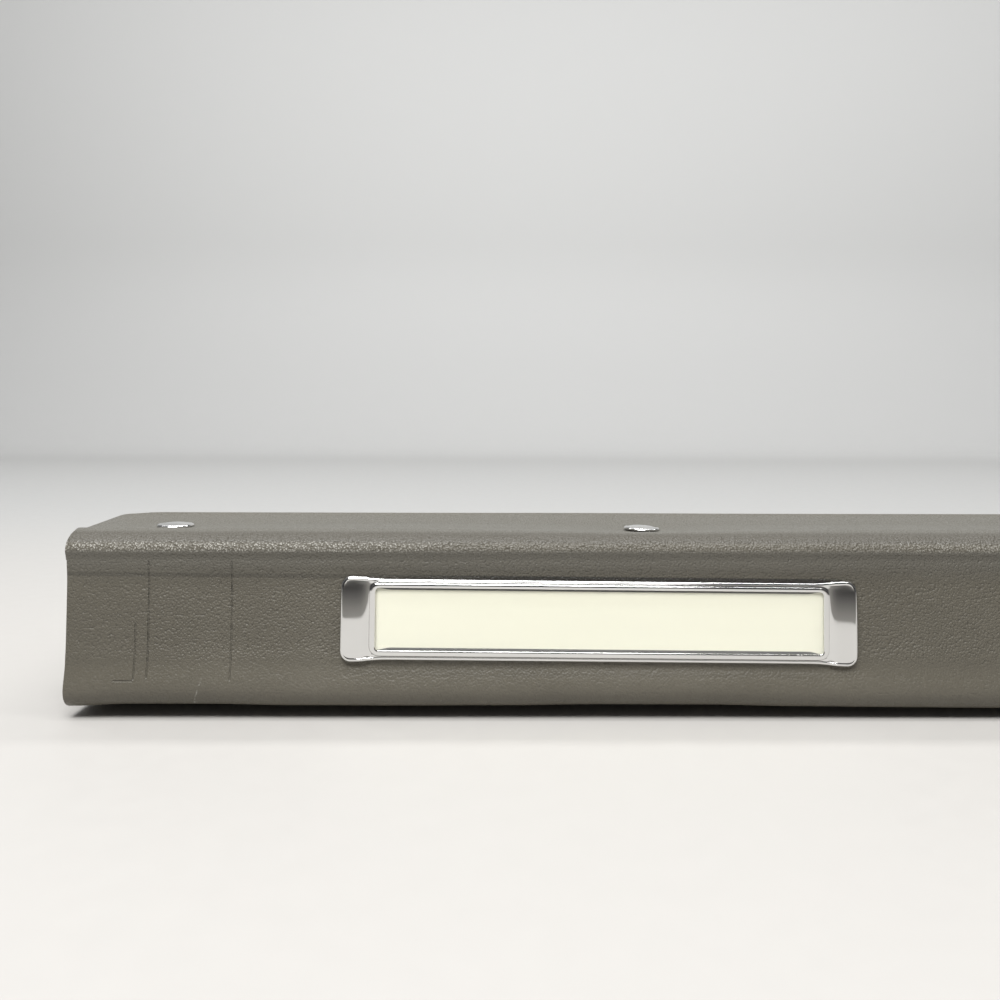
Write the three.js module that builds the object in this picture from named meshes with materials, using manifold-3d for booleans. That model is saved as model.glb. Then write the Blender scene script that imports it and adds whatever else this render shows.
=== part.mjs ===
// A4 ring binder lying closed on its lower cover, spine towards -Y, fore edge towards +Y.
// Origin at the middle of the footprint, on the table. Millimetres, +Z up.
// Sections are drawn in (depth, height): depth runs back from the front of the lower fold.

import * as THREE from 'three';
import { mergeVertices } from 'three/addons/utils/BufferGeometryUtils.js';
import Module from 'manifold-3d';

const wasm = await Module();
wasm.setup();

// Cover sheet
const binderLength = 311;
const coverDepth = 245;
const sheetThickness = 2.2;
const foldRadius = 4.8;
const foldSlit = 0.3;
const lowerFoldLift = 3;
const liftLength = 40;
const cornerRadius = 5;
const upperBendRadius = 2.8;
const upperFacetTilt = 24;
const frontCrestHeight = 49.6;
const frontCrestDepth = 10;
const frontCrestRadius = 6;
const rearCrestHeight = 50.8;
const rearCrestDepth = 38;
const coverBend = 26;
const restGap = 0.3;

// Spine face between the folds
const spineHollow = 3;
const spineLean = 2.5;
const upperBulgeSetback = 2;
const spineFlatBottom = 15.5;
const spineFlatTop = 42;

// Rivets that hold the ring metal to the upper cover
const rivetFromHousingEnd = 12.15;
const rivetLineDepth = 22.5;
const rivetSeatHeight = 48.7;
const rivetSeatWidth = 12.5;
const rivetHeadRadius = 5.1;
const rivetHeadHeight = 1.3;
const rivetPostRadius = 2.1;
const rivetCollarRadius = 3;
const rivetCollarHeight = 0.8;
const rivetClearance = 0.3;

// Ring metal: an arched housing over two toggle blades
const housingEndMargin = 10;
const housingHalfWidth = 11;
const housingWall = 0.8;
const housingLipStart = 1.2;
const housingLipReach = 1.6;
const housingShoulder = 4.4;
const housingRise = 3.9;
const bladeEndGap = 6.5;
const bladeThickness = 1;
const bladePivotInset = 1.2;
const bladePivotDrop = 2.9;
const bladeClosedTilt = 6;
const bladeMiddleGap = 0.3;
const bladeNotchClearance = 1;

// Rings on the four hole pitch
const ringPitch = 80;
const ringWireRadius = 1.9;
const ringFootOffset = 5.4;
const ringFootLean = 0.1;
const ringHalfWidth = 10.2;
const ringReach = 36;
const ringTipGap = 0.4;
const ringSlotTravel = 1.7;

// Levers at both ends of the housing
const leverPinFromEnd = 3;
const leverPinRadius = 1;
const leverPinDrop = 4;
const leverHubRadius = 2.1;
const leverSheet = 1.1;
const leverFootReach = 5.5;
const leverFootHalfWidth = 2;
const leverHubHalfWidth = 5;
const leverTabHalfWidth = 7.5;
const leverTabReach = 11;
const leverTabLift = 8;
const leverTabRound = 0.4;
const leverCheek = 0.6;
const cutSpare = 1;
const runningGap = 0.3;

// Label frame on the spine
const frameCentreX = -14.35;
const frameCentreHeight = 26;
const frameTurn = 0.5;
const frameEndMargin = 9.35;
const frameSideMargin = 2.85;
const frameFlare = 0.55;
const frameCorner = 2.8;
const frameEndFlange = 7.1;
const frameFlangeSheet = 0.5;
const beadHeight = 1.6;
const beadRound = 0.55;
const beadMargin = 1;
const windowWidth = 118.6;
const windowHeight = 15.8;
const windowCorner = 1;
const pocketMargin = 1.3;
const pocketDepth = 0.8;
const pocketFit = 0.4;
const seatGap = 0.2;
const cardThickness = 0.25;
const filmThickness = 0.15;
const prongWidth = 4;
const prongFoot = 4.5;
const prongSheet = 0.5;
const prongInset = 2.4;
const prongSpread = 6;

const vinylMaterial = () => new THREE.MeshStandardMaterial({ color: 0x6b6760, roughness: 0.62 });
const chromeMaterial = () => new THREE.MeshStandardMaterial({ color: 0xe4e4e6, roughness: 0.08, metalness: 1 });
const steelMaterial = () => new THREE.MeshStandardMaterial({ color: 0xc6c7ca, roughness: 0.25, metalness: 1 });
const cardMaterial = () => new THREE.MeshStandardMaterial({ color: 0xf6f4e0, roughness: 0.8 });
const filmMaterial = () => new THREE.MeshStandardMaterial({
  color: 0xffffff, roughness: 0.05, transparent: true, opacity: 0.15,
});

const housingLength = binderLength - 2 * housingEndMargin;
const rivetPitch = housingLength / 2 - rivetFromHousingEnd;
const bladeLength = housingLength - 2 * bladeEndGap;
const frameWidth = windowWidth + 2 * frameEndMargin;
const frameWaist = windowHeight + 2 * frameSideMargin;

const degrees = (angle) => THREE.MathUtils.degToRad(angle);
const halfDepth = coverDepth / 2;
const binder = new THREE.Group();

function addPiece(name, geometry, material, parent = binder) {
  const piece = new THREE.Mesh(geometry, material);
  piece.name = name;
  parent.add(piece);
  return piece;
}

function toSolid(geometry) {
  const bare = geometry.clone();
  bare.deleteAttribute('normal');
  bare.deleteAttribute('uv');
  const merged = mergeVertices(bare, 1e-4);
  return new wasm.Manifold(new wasm.Mesh({
    numProp: 3,
    vertProperties: new Float32Array(merged.attributes.position.array),
    triVerts: new Uint32Array(merged.index.array),
  }));
}

function toGeometry(solid) {
  const mesh = solid.getMesh();
  const geometry = new THREE.BufferGeometry();
  geometry.setAttribute('position', new THREE.BufferAttribute(new Float32Array(mesh.vertProperties), 3));
  geometry.setIndex(new THREE.BufferAttribute(new Uint32Array(mesh.triVerts), 1));
  geometry.computeVertexNormals();
  return geometry;
}

function cutAway(geometry, cutters) {
  let solid = toSolid(geometry);
  for (const cutter of cutters) {
    solid = solid.subtract(toSolid(cutter));
  }
  return toGeometry(solid);
}

function join(geometries) {
  let solid = toSolid(geometries[0]);
  for (const next of geometries.slice(1)) {
    solid = solid.add(toSolid(next));
  }
  return toGeometry(solid);
}

// A section in (depth, height) pulled along X and centred on it
const sectionToWorld = new THREE.Matrix4().makeBasis(
  new THREE.Vector3(0, 1, 0),
  new THREE.Vector3(0, 0, 1),
  new THREE.Vector3(1, 0, 0),
);

function pullAlongX(shape, length, centreX = 0, curveSegments = 8) {
  const geometry = new THREE.ExtrudeGeometry(shape, { depth: length, bevelEnabled: false, curveSegments });
  geometry.translate(0, 0, centreX - length / 2);
  geometry.applyMatrix4(sectionToWorld);
  return geometry;
}

function boxAt(sizeX, sizeY, sizeZ, x, y, z) {
  return new THREE.BoxGeometry(sizeX, sizeY, sizeZ).translate(x, y, z);
}

function uprightRod(radius, bottom, top, x, y, sides = 32) {
  const rod = new THREE.CylinderGeometry(radius, radius, top - bottom, sides);
  rod.rotateX(Math.PI / 2);
  return rod.translate(x, y, (bottom + top) / 2);
}

// Outer line of a sheet; each point keeps its direction of travel, so that the inner line is exact
class SheetLine {
  constructor() {
    this.points = [];
  }

  add(depth, height, direction) {
    this.points.push({ depth, height, direction });
    return this;
  }

  arc(depth, height, radius, from, to, steps = 6) {
    for (let step = 0; step <= steps; step += 1) {
      const angle = degrees(from + (to - from) * step / steps);
      const travel = angle - Math.sign(from - to) * Math.PI / 2;
      this.add(depth + radius * Math.cos(angle), height + radius * Math.sin(angle), travel);
    }
    return this;
  }

  // Eased step from one line to a parallel one: 'depth' travels along depth, 'height' along height
  ease(fromDepth, fromHeight, toDepth, toHeight, along, steps = 6) {
    for (let step = 0; step <= steps; step += 1) {
      const share = step / steps;
      const eased = share * share * (3 - 2 * share);
      const steepness = 6 * share * (1 - share);
      const spanDepth = toDepth - fromDepth;
      const spanHeight = toHeight - fromHeight;
      if (along === 'depth') {
        const direction = Math.atan2(spanHeight * steepness, spanDepth);
        this.add(fromDepth + spanDepth * share, fromHeight + spanHeight * eased, direction);
      } else {
        const direction = Math.atan2(spanHeight, spanDepth * steepness);
        this.add(fromDepth + spanDepth * eased, fromHeight + spanHeight * share, direction);
      }
    }
    return this;
  }

  shape(thickness) {
    const kept = this.points.filter((point, index) => {
      const last = this.points[index - 1];
      return !last || Math.hypot(point.depth - last.depth, point.height - last.height) > 0.02;
    });
    const outer = kept.map((point) => new THREE.Vector2(point.depth - halfDepth, point.height));
    const inner = kept.map((point) => new THREE.Vector2(
      point.depth - halfDepth + thickness * Math.sin(point.direction),
      point.height - thickness * Math.cos(point.direction),
    ));
    return new THREE.Shape([...outer, ...inner.reverse()]);
  }
}

// Lower fold: a quarter arc. Each fold is slit at the middle of its arc, where the two panels turn
const slitAngle = (radius) => THREE.MathUtils.radToDeg(foldSlit / 2 / radius);
const lowerFoldDepth = foldRadius;
const lowerFoldHeight = lowerFoldLift + foldRadius;
const lowerSlit = -135;

// Upper fold: a tight bend, a straight facet and a rounded crest, each tangent to the next
const facetNormal = 90 + upperFacetTilt;
const upperBendDepth = upperBulgeSetback + upperBendRadius;
const frontCrestCentre = frontCrestHeight - frontCrestRadius;
const upperBendHeight = frontCrestCentre + (frontCrestRadius - upperBendRadius
  + (frontCrestDepth - upperBendDepth) * Math.cos(degrees(facetNormal))) / Math.sin(degrees(facetNormal));
const upperSlit = (180 + facetNormal) / 2;
const spineSlope = Math.tan(degrees(spineLean));
const spineDepthAt = (height) => spineHollow - (spineFlatTop - height) * spineSlope;

// The upper cover falls from its rear crest until its fore edge rests on the lower cover
function foreEdgeHeight(fall) {
  const bendRadius = coverBend / fall;
  const flatRun = coverDepth - rearCrestDepth - coverBend;
  const outer = rearCrestHeight - bendRadius * (1 - Math.cos(fall)) - flatRun * Math.sin(fall);
  return outer - sheetThickness * Math.cos(fall);
}

function findCoverFall() {
  let shallow = 0.01;
  let steep = 0.6;
  for (let round = 0; round < 50; round += 1) {
    const middle = (shallow + steep) / 2;
    if (foreEdgeHeight(middle) > sheetThickness + restGap) {
      shallow = middle;
    } else {
      steep = middle;
    }
  }
  return (shallow + steep) / 2;
}

const coverFall = findCoverFall();

const lowerLine = new SheetLine()
  .add(coverDepth, 0, Math.PI)
  .ease(foldRadius + liftLength, 0, foldRadius, lowerFoldLift, 'depth')
  .arc(lowerFoldDepth, lowerFoldHeight, foldRadius, -90, lowerSlit + slitAngle(foldRadius));

const spineLine = new SheetLine()
  .arc(lowerFoldDepth, lowerFoldHeight, foldRadius, lowerSlit - slitAngle(foldRadius), -180)
  .ease(0, lowerFoldHeight, spineDepthAt(spineFlatBottom), spineFlatBottom, 'height')
  .add(spineDepthAt(spineFlatTop), spineFlatTop, Math.PI / 2)
  .ease(spineHollow, spineFlatTop, upperBulgeSetback, upperBendHeight, 'height', 5)
  .arc(upperBendDepth, upperBendHeight, upperBendRadius, 180, upperSlit + slitAngle(upperBendRadius), 5);

const seatFront = rivetLineDepth - rivetSeatWidth / 2;
const seatRear = rivetLineDepth + rivetSeatWidth / 2;
const bendRadius = coverBend / coverFall;
const upperLine = new SheetLine()
  .arc(upperBendDepth, upperBendHeight, upperBendRadius, upperSlit - slitAngle(upperBendRadius), facetNormal, 5)
  .arc(frontCrestDepth, frontCrestCentre, frontCrestRadius, facetNormal, 90, 5)
  .ease(frontCrestDepth, frontCrestHeight, seatFront, rivetSeatHeight, 'depth')
  .ease(seatRear, rivetSeatHeight, rearCrestDepth, rearCrestHeight, 'depth')
  .arc(rearCrestDepth, rearCrestHeight - bendRadius, bendRadius, 90, 90 - THREE.MathUtils.radToDeg(coverFall), 8);
const bendEnd = upperLine.points[upperLine.points.length - 1];
const foreRun = coverDepth - rearCrestDepth - coverBend;
upperLine.add(
  bendEnd.depth + foreRun * Math.cos(coverFall),
  bendEnd.height - foreRun * Math.sin(coverFall),
  -coverFall,
);

// Rounded free corners, cut by a plan outline that is open towards the spine
function roundedPlan(foreY) {
  const halfLength = binderLength / 2;
  const frontY = -halfDepth - foldRadius * 4;
  const plan = new THREE.Shape();
  plan.moveTo(-halfLength, frontY);
  plan.lineTo(halfLength, frontY);
  plan.lineTo(halfLength, foreY - cornerRadius);
  plan.absarc(halfLength - cornerRadius, foreY - cornerRadius, cornerRadius, 0, Math.PI / 2, false);
  plan.absarc(-halfLength + cornerRadius, foreY - cornerRadius, cornerRadius, Math.PI / 2, Math.PI, false);
  const height = rearCrestHeight * 3;
  return new THREE.ExtrudeGeometry(plan, { depth: height, bevelEnabled: false, curveSegments: 6 })
    .translate(0, 0, -rearCrestHeight);
}

function coverPanel(line) {
  const foreY = Math.max(...line.points.map((point) => point.depth)) - halfDepth;
  const sheet = toSolid(pullAlongX(line.shape(sheetThickness), binderLength + 2 * cutSpare));
  return toGeometry(sheet.intersect(toSolid(roundedPlan(foreY))));
}

addPiece('lower_cover', coverPanel(lowerLine), vinylMaterial());

// Upper cover with its rivet holes
const rivetY = rivetLineDepth - halfDepth;
const rivetPositions = [-rivetPitch, 0, rivetPitch];
const seatUnderside = rivetSeatHeight - sheetThickness;
const rivetHoles = rivetPositions.map((x) => uprightRod(
  rivetPostRadius + rivetClearance,
  seatUnderside - sheetThickness,
  rivetSeatHeight + sheetThickness,
  x,
  rivetY,
  24,
));
addPiece('upper_cover', cutAway(coverPanel(upperLine), rivetHoles), vinylMaterial());

// Frame of the spine's flat: X along the spine, Y up its face, Z out of it
const spineFace = new THREE.Matrix4().makeRotationFromEuler(new THREE.Euler(Math.PI / 2 - degrees(spineLean), 0, 0));
spineFace.setPosition(frameCentreX, spineDepthAt(frameCentreHeight) - halfDepth, frameCentreHeight);
const frameOnSpine = spineFace.clone().multiply(new THREE.Matrix4().makeRotationZ(-degrees(frameTurn)));

// Prongs behind the end flanges pass through slots in the spine and are bent inwards
const prongX = frameWidth / 2 - prongInset;
const prongPlaces = [];
for (const side of [-1, 1]) {
  for (const level of [-1, 1]) {
    prongPlaces.push({ side, x: side * prongX, y: level * prongSpread });
  }
}
const prongSlots = prongPlaces.map((place) => boxAt(
  prongSheet + 2 * runningGap,
  prongWidth + 2 * runningGap,
  sheetThickness * 3,
  place.x,
  place.y,
  -sheetThickness / 2,
).applyMatrix4(frameOnSpine));
const spineSheet = pullAlongX(spineLine.shape(sheetThickness), binderLength);
addPiece('spine_panel', cutAway(spineSheet, prongSlots), vinylMaterial());

function roundedOutline(path, width, height, radius) {
  const x = width / 2;
  const y = height / 2;
  path.moveTo(-x + radius, -y);
  path.lineTo(x - radius, -y);
  path.absarc(x - radius, -y + radius, radius, -Math.PI / 2, 0, false);
  path.absarc(x - radius, y - radius, radius, 0, Math.PI / 2, false);
  path.absarc(-x + radius, y - radius, radius, Math.PI / 2, Math.PI, false);
  path.absarc(-x + radius, -y + radius, radius, Math.PI, Math.PI * 1.5, false);
  return path;
}

// Outer outline: a straight waist that flares into two taller rounded ends
function framePlate() {
  const endX = frameWidth / 2;
  const endY = frameWaist / 2 + frameFlare;
  const waistY = frameWaist / 2;
  const neckX = endX - frameEndFlange - frameCorner;
  const plate = new THREE.Shape();
  plate.moveTo(-neckX, -waistY);
  plate.lineTo(neckX, -waistY);
  plate.bezierCurveTo(neckX + frameCorner, -waistY, neckX + frameCorner, -endY, endX - frameCorner, -endY);
  plate.absarc(endX - frameCorner, -endY + frameCorner, frameCorner, -Math.PI / 2, 0, false);
  plate.absarc(endX - frameCorner, endY - frameCorner, frameCorner, 0, Math.PI / 2, false);
  plate.bezierCurveTo(neckX + frameCorner, endY, neckX + frameCorner, waistY, neckX, waistY);
  plate.lineTo(-neckX, waistY);
  plate.bezierCurveTo(-neckX - frameCorner, waistY, -neckX - frameCorner, endY, -endX + frameCorner, endY);
  plate.absarc(-endX + frameCorner, endY - frameCorner, frameCorner, Math.PI / 2, Math.PI, false);
  plate.absarc(-endX + frameCorner, -endY + frameCorner, frameCorner, Math.PI, Math.PI * 1.5, false);
  plate.bezierCurveTo(-neckX - frameCorner, -endY, -neckX - frameCorner, -waistY, -neckX, -waistY);
  return plate;
}

function buildLabelFrame() {
  const plate = framePlate();
  plate.holes.push(roundedOutline(new THREE.Path(), windowWidth, windowHeight, windowCorner));
  const flange = new THREE.ExtrudeGeometry(plate, { depth: frameFlangeSheet, bevelEnabled: false, curveSegments: 6 });
  const beadWidth = windowWidth + 2 * (pocketMargin + beadMargin);
  const beadTall = windowHeight + 2 * (pocketMargin + beadMargin);
  const beadCorner = windowCorner + pocketMargin;
  const bead = roundedOutline(
    new THREE.Shape(),
    beadWidth - 2 * beadRound,
    beadTall - 2 * beadRound,
    beadCorner,
  );
  bead.holes.push(roundedOutline(
    new THREE.Path(),
    windowWidth + 2 * beadRound,
    windowHeight + 2 * beadRound,
    windowCorner + beadRound,
  ));
  const rim = new THREE.ExtrudeGeometry(bead, {
    depth: beadHeight - 2 * beadRound,
    bevelEnabled: true,
    bevelThickness: beadRound,
    bevelSize: beadRound,
    bevelSegments: 3,
    curveSegments: 5,
  }).translate(0, 0, beadRound);
  const pocket = boxAt(
    windowWidth + 2 * pocketMargin,
    windowHeight + 2 * pocketMargin,
    pocketDepth * 2,
    0,
    0,
    0,
  );
  const pronged = [flange, rim];
  const stemLength = sheetThickness + 2 * seatGap + prongSheet + frameFlangeSheet / 2;
  for (const place of prongPlaces) {
    const stemTop = frameFlangeSheet / 2;
    pronged.push(boxAt(prongSheet, prongWidth, stemLength, place.x, place.y, stemTop - stemLength / 2));
    pronged.push(boxAt(
      prongFoot,
      prongWidth,
      prongSheet,
      place.x - place.side * (prongFoot - prongSheet) / 2,
      place.y,
      stemTop - stemLength + prongSheet / 2,
    ));
  }
  return cutAway(join(pronged), [pocket]).translate(0, 0, seatGap).applyMatrix4(frameOnSpine);
}

addPiece('label_frame', buildLabelFrame(), chromeMaterial());

const cardWidth = windowWidth + 2 * pocketMargin - 2 * pocketFit;
const cardHeight = windowHeight + 2 * pocketMargin - 2 * pocketFit;
const cardCentre = seatGap + cardThickness / 2;
const filmCentre = seatGap + cardThickness + seatGap / 2 + filmThickness / 2;
addPiece(
  'label_card',
  boxAt(cardWidth, cardHeight, cardThickness, 0, 0, cardCentre).applyMatrix4(frameOnSpine),
  cardMaterial(),
);
addPiece(
  'label_film',
  boxAt(cardWidth, cardHeight, filmThickness, 0, 0, filmCentre).applyMatrix4(frameOnSpine),
  filmMaterial(),
);

// Ring metal. Its sections are drawn in (across, drop): across from the rivet line, drop below the cover.
const metalToSection = (across, drop) => new THREE.Vector2(rivetY + across, seatUnderside - drop);

function housingSection() {
  const wall = housingHalfWidth;
  const inner = housingHalfWidth - housingWall;
  const lipEnd = housingHalfWidth - housingLipReach;
  const lipTop = housingLipStart + housingWall;
  const outline = [[-lipEnd, housingLipStart], [-wall, housingLipStart]];
  const archSteps = 20;
  for (let step = 0; step <= archSteps; step += 1) {
    const angle = Math.PI * (1 - step / archSteps);
    outline.push([wall * Math.cos(angle), housingShoulder + housingRise * Math.sin(angle)]);
  }
  outline.push([wall, housingLipStart], [lipEnd, housingLipStart], [lipEnd, lipTop], [inner, lipTop]);
  for (let step = 0; step <= archSteps; step += 1) {
    const angle = Math.PI * step / archSteps;
    outline.push([inner * Math.cos(angle), housingShoulder + (housingRise - housingWall) * Math.sin(angle)]);
  }
  outline.push([-inner, lipTop], [-lipEnd, lipTop]);
  return new THREE.Shape(outline.map(([across, drop]) => metalToSection(across, drop)));
}

const ringPositions = [-1.5, -0.5, 0.5, 1.5].map((step) => step * ringPitch);
const leverPinX = housingLength / 2 - leverPinFromEnd;
const slotInner = ringFootOffset - ringWireRadius - runningGap;
const slotOuter = ringFootOffset + ringWireRadius + ringSlotTravel;
const crownDrop = housingShoulder + housingRise;

function acrossRod(radius, halfLength, x, drop, sides) {
  const rod = new THREE.CylinderGeometry(radius, radius, 2 * halfLength, sides);
  return rod.translate(x, rivetY, seatUnderside - drop);
}

function buildHousing() {
  const cutters = [];
  for (const x of ringPositions) {
    for (const side of [-1, 1]) {
      cutters.push(boxAt(
        2 * (ringWireRadius + runningGap),
        slotOuter - slotInner,
        crownDrop,
        x,
        rivetY + side * (slotInner + slotOuter) / 2,
        seatUnderside - housingShoulder - crownDrop / 2,
      ));
    }
  }
  for (const x of rivetPositions) {
    const holeTop = seatUnderside - housingShoulder;
    cutters.push(uprightRod(rivetPostRadius + rivetClearance, holeTop - crownDrop, holeTop, x, rivetY, 24));
  }
  for (const side of [-1, 1]) {
    cutters.push(acrossRod(leverPinRadius + runningGap, housingHalfWidth + cutSpare, side * leverPinX, leverPinDrop, 20));
  }
  return cutAway(pullAlongX(housingSection(), housingLength), cutters);
}

addPiece('ring_housing', buildHousing(), steelMaterial());

// Rivets: domed head outside, collar under the cover, post, and a rolled end on the housing's crown
function rivetProfile() {
  const headSeat = rivetSeatHeight + rivetClearance;
  const collarTop = seatUnderside - rivetClearance;
  const collarBottom = collarTop - rivetCollarHeight;
  const rollTop = seatUnderside - crownDrop - rivetClearance;
  const rollBottom = rollTop - rivetCollarHeight;
  const profile = [new THREE.Vector2(0, rollBottom)];
  profile.push(new THREE.Vector2(rivetCollarRadius * 0.8, rollBottom));
  profile.push(new THREE.Vector2(rivetCollarRadius, (rollTop + rollBottom) / 2));
  profile.push(new THREE.Vector2(rivetCollarRadius, rollTop));
  profile.push(new THREE.Vector2(rivetPostRadius, rollTop));
  profile.push(new THREE.Vector2(rivetPostRadius, collarBottom));
  profile.push(new THREE.Vector2(rivetCollarRadius, collarBottom));
  profile.push(new THREE.Vector2(rivetCollarRadius, collarTop));
  profile.push(new THREE.Vector2(rivetPostRadius, collarTop));
  profile.push(new THREE.Vector2(rivetPostRadius, headSeat));
  profile.push(new THREE.Vector2(rivetHeadRadius, headSeat));
  const domeSteps = 6;
  for (let step = 0; step <= domeSteps; step += 1) {
    const angle = Math.PI / 2 * step / domeSteps;
    const radius = step === domeSteps ? 0 : rivetHeadRadius * Math.cos(angle);
    const rise = rivetHeadHeight * (0.25 + 0.75 * Math.sin(angle));
    profile.push(new THREE.Vector2(radius, headSeat + rise));
  }
  return profile;
}

const rivetNames = ['rivet_left', 'rivet_middle', 'rivet_right'];
rivetPositions.forEach((x, index) => {
  const rivet = new THREE.LatheGeometry(rivetProfile(), 28);
  rivet.rotateX(Math.PI / 2);
  rivet.translate(x, rivetY, 0);
  addPiece(rivetNames[index], rivet, chromeMaterial());
});

// Blades: strips from the housing's lips to the middle, notched round the rivet posts
const bladePivot = housingHalfWidth - bladePivotInset;
const bladeWidth = bladePivot / Math.cos(degrees(bladeClosedTilt)) - bladeMiddleGap;
const notchRadius = rivetPostRadius + bladeNotchClearance;

function buildBlade(side) {
  const outline = new THREE.Shape();
  const end = bladeLength / 2;
  outline.moveTo(-end, 0);
  outline.lineTo(end, 0);
  outline.lineTo(end, bladeWidth);
  for (const x of [...rivetPositions].reverse()) {
    if (Math.abs(x) + notchRadius < end) {
      outline.lineTo(x + notchRadius, bladeWidth);
      outline.absarc(x, bladeWidth, notchRadius, 0, -Math.PI, true);
    }
  }
  outline.lineTo(-end, bladeWidth);
  let blade = new THREE.ExtrudeGeometry(outline, { depth: bladeThickness, bevelEnabled: false, curveSegments: 8 });
  const postCuts = rivetPositions
    .filter((x) => Math.abs(x) + notchRadius >= end)
    .map((x) => uprightRod(notchRadius, -bladeThickness, 2 * bladeThickness, x, bladeWidth, 24));
  blade = cutAway(blade, postCuts);
  blade.translate(0, 0, -bladeThickness / 2);
  blade.rotateX(degrees(bladeClosedTilt));
  if (side > 0) {
    blade.rotateZ(Math.PI);
  }
  return blade.translate(0, rivetY + side * bladePivot, seatUnderside - bladePivotDrop);
}

// Half ring: leaves its blade through the housing, bows out and meets the other half at the tip
function buildHalfRing(side, x) {
  const start = bladePivotDrop + bladeThickness / 2;
  const path = new THREE.CatmullRomCurve3([
    [ringFootOffset, start],
    [ringFootOffset + ringFootLean, crownDrop],
    [ringHalfWidth, ringReach * 0.48],
    [ringHalfWidth * 0.84, ringReach * 0.8],
    [ringHalfWidth * 0.42, ringReach * 0.975],
    [ringTipGap / 2 + ringWireRadius * 0.7, ringReach],
    [ringTipGap / 2, ringReach],
  ].map(([across, drop]) => new THREE.Vector3(x, rivetY + side * across, seatUnderside - drop)));
  const wire = new THREE.Shape().absarc(0, 0, ringWireRadius, 0, Math.PI * 2, false);
  return new THREE.ExtrudeGeometry(wire, { extrudePath: path, steps: 20, curveSegments: 5, bevelEnabled: false });
}

const halves = [
  { name: 'front', side: -1 },
  { name: 'rear', side: 1 },
];
for (const half of halves) {
  addPiece(`blade_${half.name}`, buildBlade(half.side), steelMaterial());
  ringPositions.forEach((x, index) => {
    addPiece(`ring_${index + 1}_${half.name}`, buildHalfRing(half.side, x), chromeMaterial());
  });
}

// Levers: a foot under the blades, a hub on the pin and a thumb tab that curves away from the cover
function leverSection() {
  const footDrop = -leverPinDrop + restGap;
  const section = new THREE.Shape();
  section.moveTo(-leverFootReach, footDrop);
  section.lineTo(0, footDrop);
  section.absarc(0, 0, leverHubRadius, -Math.PI / 2, -Math.PI / 6, false);
  section.lineTo(leverTabReach * 0.4, -leverSheet);
  section.quadraticCurveTo(leverTabReach * 0.75, -leverSheet * 0.6, leverTabReach, leverTabLift);
  section.lineTo(leverTabReach - leverSheet, leverTabLift + leverSheet * 0.5);
  section.quadraticCurveTo(leverTabReach * 0.68, leverSheet, leverTabReach * 0.36, leverSheet * 0.4);
  section.absarc(0, 0, leverHubRadius, Math.PI / 8, Math.PI * 1.02, false);
  section.lineTo(-leverHubRadius, footDrop + leverSheet * 0.8);
  section.lineTo(-leverFootReach, footDrop + leverSheet * 0.8);
  return section;
}

function leverPlan() {
  const plan = new THREE.Shape();
  const hub = leverHubRadius + leverCheek;
  plan.moveTo(-leverFootReach - cutSpare, -leverFootHalfWidth);
  plan.lineTo(-hub, -leverFootHalfWidth);
  plan.lineTo(-hub, -leverHubHalfWidth);
  plan.lineTo(hub, -leverHubHalfWidth);
  plan.quadraticCurveTo(leverTabReach * 0.6, -leverHubHalfWidth, leverTabReach * 0.7, -leverTabHalfWidth);
  plan.quadraticCurveTo(leverTabReach + leverTabRound, -leverTabHalfWidth, leverTabReach + leverTabRound, 0);
  plan.quadraticCurveTo(leverTabReach + leverTabRound, leverTabHalfWidth, leverTabReach * 0.7, leverTabHalfWidth);
  plan.quadraticCurveTo(leverTabReach * 0.6, leverHubHalfWidth, hub, leverHubHalfWidth);
  plan.lineTo(-hub, leverHubHalfWidth);
  plan.lineTo(-hub, leverFootHalfWidth);
  plan.lineTo(-leverFootReach - cutSpare, leverFootHalfWidth);
  return plan;
}

function buildLever(side) {
  const width = 2 * (leverTabHalfWidth + cutSpare);
  const bent = new THREE.ExtrudeGeometry(leverSection(), { depth: width, bevelEnabled: false, curveSegments: 8 });
  bent.translate(0, 0, -width / 2);
  const tall = 4 * leverTabReach;
  const plan = new THREE.ExtrudeGeometry(leverPlan(), { depth: tall, bevelEnabled: false, curveSegments: 6 });
  plan.translate(0, 0, -tall / 2);
  plan.rotateX(Math.PI / 2);
  const bore = new THREE.CylinderGeometry(
    leverPinRadius + runningGap,
    leverPinRadius + runningGap,
    width + 2 * cutSpare,
    20,
  ).rotateX(Math.PI / 2);
  const solid = toSolid(bent).intersect(toSolid(plan)).subtract(toSolid(bore));
  const lever = toGeometry(solid);
  lever.rotateX(-Math.PI / 2);
  if (side < 0) {
    lever.rotateZ(Math.PI);
  }
  return lever.translate(side * leverPinX, rivetY, seatUnderside - leverPinDrop);
}

const ends = [
  { name: 'left', side: -1 },
  { name: 'right', side: 1 },
];
for (const end of ends) {
  addPiece(`lever_${end.name}`, buildLever(end.side), steelMaterial());
  const pin = acrossRod(leverPinRadius, housingHalfWidth + housingWall, end.side * leverPinX, leverPinDrop, 16);
  addPiece(`lever_pin_${end.name}`, pin, steelMaterial());
}

export default binder;
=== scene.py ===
import math
import bmesh
import bpy
from mathutils import Euler, Matrix, Vector


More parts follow.
